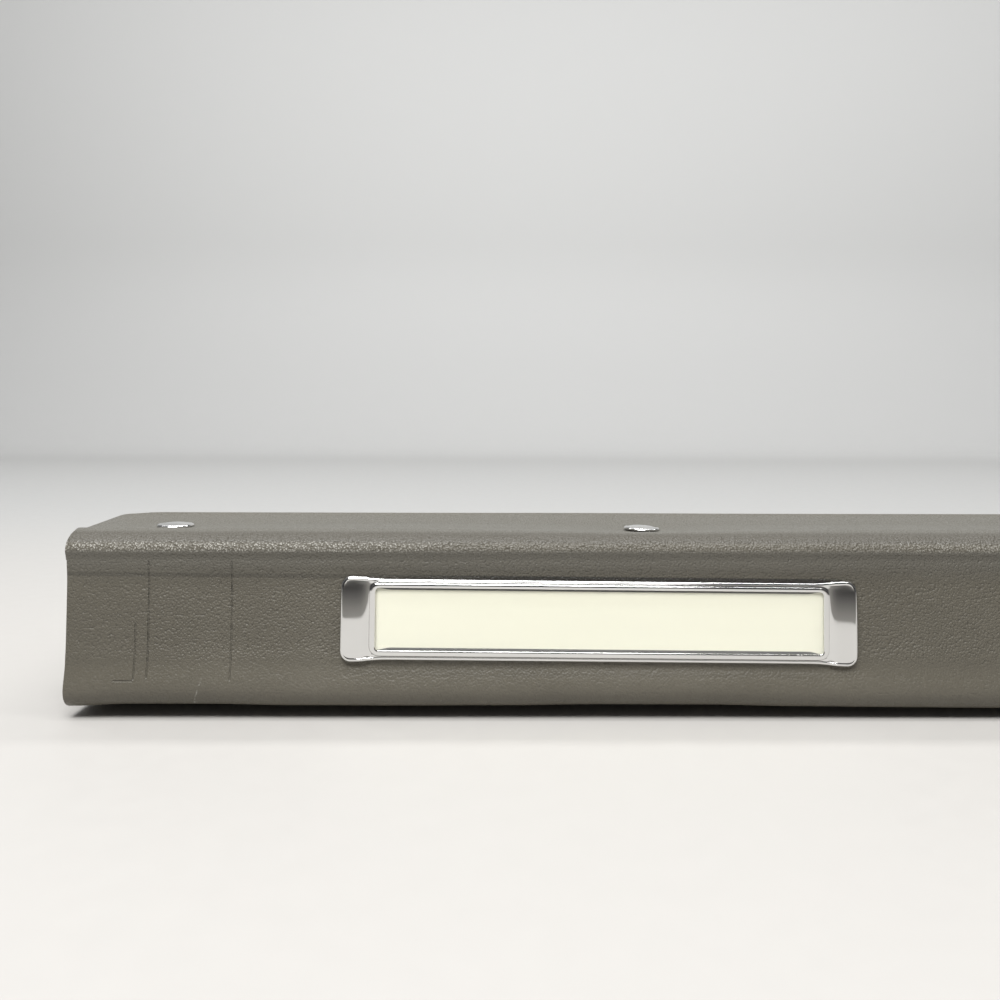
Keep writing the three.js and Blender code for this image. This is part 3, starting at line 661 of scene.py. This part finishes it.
def sheetPanel(name, profile):
    # a strip is pulled along the section and cut into columns
    half = sheet['length'] / 2
    (depthA, heightA), (depthB, heightB) = profile[0], profile[1]
    panel = newPlane(name)
    lead = [vertex.co.y > 0 for vertex in panel.data.vertices]
    for vertex in panel.data.vertices:
        side = half if vertex.co.x > 0 else -half
        depth, height = (depthB, heightB) if lead[vertex.index] else (depthA, heightA)
        vertex.co = Vector((side, depth - halfDepth, height)) * mm
    bpy.ops.object.mode_set(mode='EDIT')
    selectParts(panel, 'edges', lambda edge: all(lead[vertex.index] for vertex in edge.verts))
    for (depthA, heightA), (depthB, heightB) in zip(profile[1:], profile[2:]):
        bpy.ops.mesh.extrude_region_move(TRANSFORM_OT_translate={
            'value': (0, (depthB - depthA) * mm, (heightB - heightA) * mm)})
    selectParts(panel, 'edges', lambda edge: abs(edge.verts[0].co.x - edge.verts[1].co.x) > half * mm)
    bpy.ops.mesh.subdivide(number_cuts=sheet['columns'] - 1)
    bpy.ops.object.mode_set(mode='OBJECT')
    return panel


def roundedCorner(x, fromEdge):
    corner = sheet['corner']
    if fromEdge < corner:
        inset = corner - math.sqrt(max(0.0, corner ** 2 - (corner - fromEdge) ** 2))
        x *= 1 - inset / (sheet['length'] / 2)
    return x


def finishPanel(panel, foreDepth):
    # the strip is bent to shape, given its thickness and softened along its rim
    for vertex in panel.data.vertices:
        x, depth, height = vertex.co.x / mm, vertex.co.y / mm + halfDepth, vertex.co.z / mm
        x = roundedCorner(x, foreDepth - depth)
        depth, height = shapeSheet(x, depth, height)
        vertex.co = Vector((x, depth - halfDepth, height)) * mm
    panel.data.update()
    tests, seam = sheetTests, sheet['flatHigh'] * mm
    facing = sum(face.normal.y for face in panel.data.polygons
                 if face.center.z > tests['spineLow'] and face.center.y < tests['spineRear'])
    if facing >= 0:  # the normals have to point outwards
        makeActive(panel)
        bpy.ops.object.mode_set(mode='EDIT')
        bpy.ops.mesh.select_all(action='SELECT')
        bpy.ops.mesh.flip_normals()
        bpy.ops.object.mode_set(mode='OBJECT')
    addModifier(panel, 'SOLIDIFY', thickness=sheet['thickness'] * mm, offset=-1.0, use_even_offset=True)
    bpy.ops.object.mode_set(mode='EDIT')
    selectParts(panel, 'edges', lambda edge: edge.is_manifold and edge.calc_face_angle() > tests['sharp']
                and not all(abs(vertex.co.z - seam) < tests['seamReach']
                            and vertex.co.y < tests['seamRear'] for vertex in edge.verts))
    bpy.ops.mesh.bevel(offset=sheet['rimRound'] * mm, segments=2, clamp_overlap=True)
    bpy.ops.object.mode_set(mode='OBJECT')
    smoothByAngle(panel, 40)
    places = panel.data.attributes.new('restPlace', 'FLOAT_VECTOR', 'POINT')
    for vertex, place in zip(panel.data.vertices, places.data):
        place.vector = vertex.co
    return panel


lowerSkin = finishPanel(sheetPanel('lowerSheet', lowerProfile()), sheet['depth'])
upperEnd = upperProfile()[-1][0]
upperSkin = finishPanel(sheetPanel('upperSheet', upperProfile()), upperEnd)
finished(lowerSkin, vinyl, None, 'vinyl', 'lower_cover', 'spine_panel')
finished(upperSkin, vinyl, None, 'vinyl', 'upper_cover')
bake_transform(lowerSkin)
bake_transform(upperSkin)
print('cover sheet ready')

labelFrame = {
    'windowWidth': 118.6, 'windowHeight': 15.8, 'windowCorner': 1.0, 'endMargin': 9.35, 'sideMargin': 2.85,
    'flare': 0.55, 'corner': 2.9, 'cornerSteps': 8, 'seat': 0.2, 'sideStop': 3.4,
    'waistSteps': 6, 'waistRun': 3.0, 'windowRun': 3.5, 'railStops': (42.0, 26.0, 9.0),
    'upperRaise': 0.5, 'raiseReach': (3.4, 6.9), 'upperNarrowing': 0.2, 'upperTurn': (0.5, 1.0),
    'dome': 0.42, 'domeReach': 11.5, 'domeTilt': 0.032, 'domeAcross': (60.5, 63), 'domeUp': (0.1, 0.5),
}
frameSection = [  # (measured from, distance inwards or outwards, height): over the face, then back behind it
    ('rim', 0.00, 0.02), ('rim', 0.04, 0.26), ('rim', 0.17, 0.48), ('rim', 0.38, 0.66),
    ('rim', 0.64, 0.78), ('rim', 0.90, 0.80), ('rim', 1.04, 0.68), ('bead', 1.86, 0.54),
    ('bead', 1.72, 0.56), ('bead', 1.62, 1.02), ('bead', 1.50, 1.42), ('bead', 1.20, 1.56),
    ('bead', 0.85, 1.58), ('bead', 0.34, 1.57), ('bead', 0.09, 1.52), ('bead', 0.01, 1.34),
    ('bead', 0.00, 1.10), ('bead', 0.20, 1.06), ('bead', 0.38, 1.16), ('bead', 0.75, 1.22),
    ('bead', 1.15, 1.06), ('bead', 1.45, 0.34), ('bead', 1.86, 0.14), ('rim', 1.00, 0.20),
    ('rim', 0.60, 0.36), ('rim', 0.22, 0.10),
]
prongShape = {'x': 66.25, 'y': 6.0, 'thick': 0.5, 'width': 4.0, 'tall': 3.1, 'middle': -1.05, 'foot': 4.0,
              'edge': 0.12}


def spineMatrix():
    height = labelPlace['height']
    lean = Euler((math.pi / 2 - math.radians(labelPlace['lean']), 0, 0)).to_matrix().to_4x4()
    turn = Matrix.Rotation(-math.radians(labelPlace['turn']), 4, 'Z')
    place = Vector((labelPlace['x'], spineDepth(height) - halfDepth, height)) * mm
    return Matrix.Translation(place) @ lean @ turn


onSpine = spineMatrix()


def mirroredRails(rails, sideX, sideY):
    return [tuple((point[0] * sideX, point[1] * sideY) for point in row) for row in rails]


def frameRails():
    # matching points round the outer rim and round the window, and the direction outwards there
    part = labelFrame
    winX, winY = part['windowWidth'] / 2, part['windowHeight'] / 2
    rimX, waist = winX + part['endMargin'], winY + part['sideMargin']
    rimY = waist + part['flare']
    corner, inner, stop = part['corner'], part['windowCorner'], part['sideStop']
    rightTop = [((rimX, stop), (winX, stop), (1, 0))]
    for step in range(part['cornerSteps'] + 1):
        angle = math.pi / 2 * step / part['cornerSteps']
        turned = (math.cos(angle), math.sin(angle))
        rightTop.append(((rimX - corner + corner * turned[0], rimY - corner + corner * turned[1]),
                         (winX - inner + inner * turned[0], winY - inner + inner * turned[1]), turned))
    for step in range(1, part['waistSteps'] + 1):  # the end plate narrows to the waist
        share = step / part['waistSteps']
        x = rimX - corner - share * (part['endMargin'] - corner + part['waistRun'])
        y = rimY - part['flare'] * softStep(share, 0, 1)
        rightTop.append(((x, y), (winX - inner - share * part['windowRun'], winY), (0, 1)))
    for x in part['railStops']:
        rightTop.append(((x, waist), (x, winY), (0, 1)))
    top = rightTop + mirroredRails(reversed(rightTop), -1, 1)
    return top + mirroredRails(top, -1, -1)


def frameSheet():
    part, rails = labelFrame, frameRails()
    ringCount, sectionCount = len(rails), len(frameSection)
    clearSelection()
    bpy.ops.mesh.primitive_torus_add(major_segments=ringCount, minor_segments=sectionCount,
                                     major_radius=1.0, minor_radius=0.25)
    rim = named(bpy.context.object, 'labelFrameSheet')
    for ringIndex, (outer, window, normal) in enumerate(rails):
        before, after = rails[ringIndex - 1][0], rails[(ringIndex + 1) % ringCount][0]
        along = Vector((after[0] - before[0], after[1] - before[1]))
        outward = Vector((along.y, -along.x)).normalized()
        narrowed = 1 - part['upperNarrowing'] * softStep(normal[1], *part['upperTurn'])  # upper rail only
        raised = part['upperRaise'] * softStep(window[1], *part['raiseReach'])
        for sectionIndex, (source, distance, height) in enumerate(frameSection):
            distance *= narrowed
            if source == 'rim':
                x, y = outer[0] - outward.x * distance, outer[1] - outward.y * distance
            else:
                x, y = window[0] + normal[0] * distance, window[1] + normal[1] * distance + raised
            vertex = rim.data.vertices[ringIndex * sectionCount + sectionIndex]
            vertex.co = Vector((x, y, height + part['seat'])) * mm
    rim.data.update()
    addModifier(rim, 'SUBSURF', levels=2, render_levels=2)
    for vertex in rim.data.vertices:  # the end plates are slightly domed
        x, y, height = vertex.co / mm
        dome = part['dome'] * max(0.0, 1 - (y / part['domeReach']) ** 2) - part['domeTilt'] * y
        share = softStep(abs(x), *part['domeAcross']) * softStep(height - part['seat'], *part['domeUp'])
        vertex.co.z += dome * share * mm
    recalculateOutside(rim)
    return rim


def frameProng(side, level):
    # a tongue that goes through the spine and is bent over behind it
    part = prongShape
    clearSelection()
    bpy.ops.mesh.primitive_cube_add(size=1.0, location=(0, 0, 0))
    prong = bpy.context.object
    for vertex in prong.data.vertices:
        vertex.co = Vector((vertex.co.x * part['thick'], vertex.co.y * part['width'],
                            vertex.co.z * part['tall'] + part['middle'])) * mm
    bottom = (part['middle'] - part['tall'] / 2 - 0.01) * mm
    bpy.ops.object.mode_set(mode='EDIT')
    selectParts(prong, 'faces', lambda face: face.normal.z < -0.5)
    bpy.ops.mesh.extrude_region_move(TRANSFORM_OT_translate={'value': (0, 0, -part['thick'] * mm)})
    selectParts(prong, 'faces', lambda face: face.normal.x * -side > 0.5
                and face.calc_center_median().z < bottom)
    bpy.ops.mesh.extrude_region_move(TRANSFORM_OT_translate={'value': (-side * part['foot'] * mm, 0, 0)})
    bpy.ops.object.mode_set(mode='OBJECT')
    for vertex in prong.data.vertices:
        vertex.co += Vector((side * part['x'], level * part['y'], 0)) * mm
    return addModifier(prong, 'BEVEL', width=part['edge'] * mm, segments=2, limit_method='ANGLE')


def buildLabelFrame():
    rim = frameSheet()
    prongs = [frameProng(side, level) for side in (-1, 1) for level in (-1, 1)]
    whole = joinPieces([rim] + prongs)
    whole.data.transform(onSpine)
    return smoothByAngle(whole, 32)


finished(buildLabelFrame(), chrome, 'spine', 'chrome', 'label_frame')
print('label frame ready')

labelSheets = {  # width, height, thickness, height above the spine, how far it sits low in the frame
    'card': (120.4, 18.1, 0.25, 0.98, 0.05), 'film': (120.2, 17.1, 0.15, 1.19, 0.22),
    'cuts': 23, 'bow': 0.05, 'bowLength': 23.0, 'bowPhase': 0.8, 'bowSides': (2, 8), 'edge': 0.04,
}


def buildLabelSheet(name, kind):
    part = labelSheets
    width, tall, thick, base, dropped = part[kind]
    piece = newPlane(name)
    bpy.ops.object.mode_set(mode='EDIT')
    bpy.ops.mesh.subdivide(number_cuts=part['cuts'])
    bpy.ops.object.mode_set(mode='OBJECT')
    for vertex in piece.data.vertices:
        x, y = vertex.co.x * width, vertex.co.y * tall
        wave = 0.5 + 0.5 * math.sin(x / part['bowLength'] + part['bowPhase'])
        lift = part['bow'] * wave * softStep(abs(y), *part['bowSides'])
        vertex.co = Vector((x, y - dropped, base + lift)) * mm
    addModifier(piece, 'SOLIDIFY', thickness=thick * mm, offset=-1.0)
    addModifier(piece, 'BEVEL', width=part['edge'] * mm, segments=2, limit_method='ANGLE',
                angle_limit=math.radians(60))
    piece.data.transform(onSpine)
    return smoothByAngle(piece, 40)


finished(buildLabelSheet('labelCardSheet', 'card'), card, 'spine', 'label', 'label_card')
finished(buildLabelSheet('labelFilmSheet', 'film'), film, 'spine', 'film', 'label_film')
print('label ready')

rivet = {
    'steps': 48,
    'seats': {  # x, height against the cover's seat, tilt in degrees
        'rivet_left': (-sheet['rivetPitch'], -0.3, 0.0), 'rivet_middle': (0.0, -0.85, 2.0),
        'rivet_right': (sheet['rivetPitch'], -0.4, 0.0)},
}
rivetSection = [  # (radius, height above the cover's seat), from the head's crown to the rolled end
    (0.0, 1.34), (1.2, 1.32), (2.4, 1.24), (3.3, 1.08), (3.85, 0.92), (4.15, 0.86), (4.45, 0.90),
    (4.78, 0.85), (5.0, 0.68), (5.1, 0.50), (5.02, 0.22), (4.6, 0.12), (2.1, 0.12), (2.1, -2.5),
    (3.0, -2.5), (3.0, -3.3), (2.1, -3.3), (2.1, -10.8), (3.0, -10.8), (3.05, -11.2), (2.6, -11.55),
    (1.4, -11.6), (1.1, -11.2), (0.0, -11.1),
]


def buildRivet(name, x, sink, tilt):
    piece = newPlane(name)
    bpy.ops.object.mode_set(mode='EDIT')
    mesh = bmesh.from_edit_mesh(piece.data)
    bmesh.ops.delete(mesh, geom=list(mesh.verts), context='VERTS')
    line = [mesh.verts.new(Vector((radius, 0, height)) * mm) for radius, height in rivetSection]
    for first, last in zip(line, line[1:]):
        mesh.edges.new((first, last))
    for element in list(mesh.verts) + list(mesh.edges):
        element.select = True
    bmesh.update_edit_mesh(piece.data)
    bpy.ops.mesh.spin(steps=rivet['steps'], angle=math.tau, center=(0, 0, 0), axis=(0, 0, 1))
    bpy.ops.mesh.select_all(action='SELECT')
    bpy.ops.mesh.remove_doubles(threshold=0.000004)
    bpy.ops.mesh.normals_make_consistent(inside=False)
    bpy.ops.object.mode_set(mode='OBJECT')
    place = Vector((x, sheet['rivetDepth'] - halfDepth, sheet['seatHeight'] + sink)) * mm
    piece.data.transform(Matrix.Translation(place) @ Matrix.Rotation(math.radians(tilt), 4, 'Y'))
    return smoothByAngle(piece, 40)


for node, (rivetX, sink, tilt) in rivet['seats'].items():
    name = 'rivetHead' + node.split('_')[1].title()
    finished(buildRivet(name, rivetX, sink, tilt), chrome, 'upper_cover', 'chrome', node)
print('rivets ready')

ring = {
    'pitch': 80.0, 'count': 4, 'wire': 1.9, 'foot': 5.4, 'footLean': 0.1, 'halfWidth': 10.2, 'reach': 36.0,
    'crown': 8.3, 'start': 3.4, 'tip': 1.53, 'gap': 0.12, 'under': 46.5,
    'knots': ((1.0, 0.48), (0.84, 0.8), (0.42, 0.975)),  # shares of the half width and of the reach
}
edgeRound = {'ring_housing': 0.12, 'blade': 0.1, 'lever': 0.15, 'lever_pin': 0.2}


def refinedCopy(node, name, width):
    piece = bpy.data.objects.new(name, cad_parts[node].data.copy())
    bpy.context.scene.collection.objects.link(piece)
    named(piece, name)
    makeActive(piece)
    bpy.ops.object.mode_set(mode='EDIT')
    bpy.ops.mesh.select_all(action='SELECT')
    bpy.ops.mesh.remove_doubles(threshold=0.000005)
    bpy.ops.mesh.dissolve_limited(angle_limit=math.radians(1.0))
    bpy.ops.object.mode_set(mode='OBJECT')
    addModifier(piece, 'BEVEL', width=width * mm, segments=2, limit_method='ANGLE',
                angle_limit=math.radians(30), use_clamp_overlap=True)
    return smoothByAngle(piece, 35)


def addRefined(kind, side, name, body):
    node = kind + '_' + side
    piece = refinedCopy(node, name + side.title(), edgeRound[kind])
    finished(piece, nickel, body, 'nickel', node)


housing = refinedCopy('ring_housing', 'ringHousingSheet', edgeRound['ring_housing'])
finished(housing, nickel, 'upper_cover', 'nickel', 'ring_housing')
for side in ('front', 'rear'):
    addRefined('blade', side, 'toggleBlade', 'ring_' + side)
for side in ('left', 'right'):
    addRefined('lever', side, 'thumbLever', 'lever_' + side)
    addRefined('lever_pin', side, 'leverPin', 'upper_cover')


def buildHalfRing(name, side):
    # a wire drawn through the same points as the solid one, thickened and closed
    part = ring
    points = [(part['foot'], part['start']), (part['foot'] + part['footLean'], part['crown'])]
    points += [(part['halfWidth'] * across, part['reach'] * drop) for across, drop in part['knots']]
    points += [(part['tip'], part['reach']), (part['gap'], part['reach'])]
    clearSelection()
    curve = bpy.data.curves.new(name, 'CURVE')
    curve.dimensions = '3D'
    curve.bevel_depth = part['wire'] * mm
    curve.bevel_resolution = 5
    curve.use_fill_caps = True
    curve.resolution_u = 10
    spline = curve.splines.new('BEZIER')
    spline.bezier_points.add(len(points) - 1)
    rivetY = sheet['rivetDepth'] - halfDepth
    for knot, (across, drop) in zip(spline.bezier_points, points):
        knot.co = Vector((0, rivetY + side * across, part['under'] - drop)) * mm
        knot.handle_left_type = knot.handle_right_type = 'AUTO'
    wire = bpy.data.objects.new(name, curve)
    bpy.context.scene.collection.objects.link(wire)
    makeActive(wire)
    bpy.ops.object.convert(target='MESH')
    wire = named(bpy.context.object, name)
    recalculateOutside(wire)
    return smoothByAngle(wire, 50)


for sideName, side in (('front', -1), ('rear', 1)):
    model = buildHalfRing('ringWire' + sideName.title(), side)
    for index in range(ring['count']):
        name = 'ring%d%s' % (index + 1, sideName.title())
        piece = named(model, name) if index == ring['count'] - 1 else twin(model, name)
        shift = (index - (ring['count'] - 1) / 2) * ring['pitch']
        piece.data.transform(Matrix.Translation(Vector((shift, 0, 0)) * mm))
        finished(piece, ringSteel, 'ring_' + sideName, 'ring_wire', 'ring_%d_%s' % (index + 1, sideName))
print('ring metal ready')

studio = {  # metres
    'tableDepth': 1.5, 'tableFront': -3.0, 'tableWidth': 7.0, 'wallHeight': 1.9,
    'coveRadius': 0.5, 'coveSteps': 16, 'tableColour': (0.482, 0.468, 0.446, 1),
    'farTable': (1, -0.1, 0.5, (0.445, 0.445, 0.436, 1)), 'wall': (1, 1.15, 1.6, (0.57, 0.57, 0.56, 1)),
    'boardPlace': (0.0, -0.50, 0.28), 'boardSize': (2.2, 0.55), 'boardColour': (0.40, 0.39, 0.37, 1),
    'boardTop': (2, 0.0, 0.075, (0.035, 0.032, 0.034, 1)), 'tableRough': 0.55, 'boardRough': 0.7,
    'grain': 140.0, 'grainShade': 0.985, 'grainSpan': (0.2, 0.8), 'grainRough': 0.08,
}
lamps = {  # place, target, size, power
    'keySoftbox': ((-0.2, -0.72, 1.15), (0, -0.1, 0), (1.0, 0.45), 22.5),
    'ceilingLamp': ((0.05, -0.26, 1.25), (0.05, -0.12, 0.04), (1.5, 0.06), 6.5),
    'wallWash': ((0.35, 0.5, 1.6), (0.35, 2.0, 0.12), (4.2, 0.5), 42),
}
roomLight = {'colour': (0.93, 0.95, 1.0, 1), 'strength': 0.16}
cameraPlace = {'x': -0.0432, 'y': -0.3724, 'z': 0.0815, 'yaw': -0.52, 'roll': 0.2, 'lens': 34.2,
               'sensor': 36.0, 'shiftY': -0.088, 'nearest': 0.01}


def paleFinish(name, colour, rough, *further):
    # further colours take over along an axis: (axis, from, to, colour)
    pale = Finish(name)
    grain = pale.noise(studio['grain'], 3.0)
    shade = tuple(part * studio['grainShade'] for part in colour[:3]) + (1,)
    plain = pale.mixed(grain, shade, colour)
    for axis, start, end, nextColour in further:
        plain = pale.mixed(pale.parts()[axis].between(start, end), plain, nextColour)
    pale.colour(plain)
    pale.rough(grain.between(*studio['grainSpan'], rough, rough + studio['grainRough']))
    return pale.material


def buildCove():
    cove = newPlane('paleCove')
    for vertex in cove.data.vertices:
        y = studio['tableFront'] if vertex.co.y < 0 else studio['tableDepth']
        vertex.co = Vector((vertex.co.x * studio['tableWidth'], y, 0))
    bpy.ops.object.mode_set(mode='EDIT')
    selectParts(cove, 'edges', lambda edge: all(vertex.co.y > 0 for vertex in edge.verts))
    steps, radius = studio['coveSteps'], studio['coveRadius']
    for step in range(steps):  # the table turns up into the wall
        first, last = math.pi / 2 * step / steps, math.pi / 2 * (step + 1) / steps
        bpy.ops.mesh.extrude_region_move(TRANSFORM_OT_translate={'value': (
            0, radius * (math.sin(last) - math.sin(first)), radius * (math.cos(first) - math.cos(last)))})
    bpy.ops.mesh.extrude_region_move(TRANSFORM_OT_translate={'value': (0, 0, studio['wallHeight'])})
    bpy.ops.object.mode_set(mode='OBJECT')
    further = (studio['farTable'], studio['wall'])
    cove.data.materials.append(
        paleFinish('paleTable', studio['tableColour'], studio['tableRough'], *further))
    smoothByAngle(cove, 30)


def buildDarkBoard():
    # stands for the unlit room behind the camera; only reflections show it
    board = newPlane('darkBoard')
    width, tall = studio['boardSize']
    for vertex in board.data.vertices:
        vertex.co = Vector((vertex.co.x * width, 0, vertex.co.y * tall)) + Vector(studio['boardPlace'])
    board.data.materials.append(
        paleFinish('darkBoardPaint', studio['boardColour'], studio['boardRough'], studio['boardTop']))
    board.visible_camera = False
    board.visible_diffuse = False
    board.visible_shadow = False


def areaLight(name, place, target, size, power):
    lamp = bpy.data.lights.new(name, 'AREA')
    lamp.shape = 'RECTANGLE'
    lamp.size, lamp.size_y = size
    lamp.energy = power
    light = bpy.data.objects.new(name, lamp)
    bpy.context.scene.collection.objects.link(light)
    light.location = place
    light.rotation_euler = (Vector(target) - Vector(place)).to_track_quat('-Z', 'Y').to_euler()


def buildCamera():
    lensData = bpy.data.cameras.new('photoCamera')
    lensData.lens = cameraPlace['lens']
    lensData.sensor_width = cameraPlace['sensor']
    lensData.shift_y = cameraPlace['shiftY']
    lensData.clip_start = cameraPlace['nearest']
    camera = bpy.data.objects.new('photoCamera', lensData)
    bpy.context.scene.collection.objects.link(camera)
    camera.location = (cameraPlace['x'], cameraPlace['y'], cameraPlace['z'])
    yaw, roll = math.radians(cameraPlace['yaw']), math.radians(cameraPlace['roll'])
    level = Matrix.Rotation(yaw, 4, 'Z') @ Matrix.Rotation(math.pi / 2, 4, 'X')
    camera.rotation_euler = (level @ Matrix.Rotation(roll, 4, 'Z')).to_euler()
    bpy.context.scene.camera = camera


buildCove()
buildDarkBoard()
for name, settings in lamps.items():
    areaLight(name, *settings)
world = bpy.data.worlds.new('paleRoom')
bpy.context.scene.world = world
world.use_nodes = True
background = world.node_tree.nodes['Background']
background.inputs['Color'].default_value = roomLight['colour']
background.inputs['Strength'].default_value = roomLight['strength']
buildCamera()
bpy.context.scene.view_settings.view_transform = 'Standard'
print('studio ready')
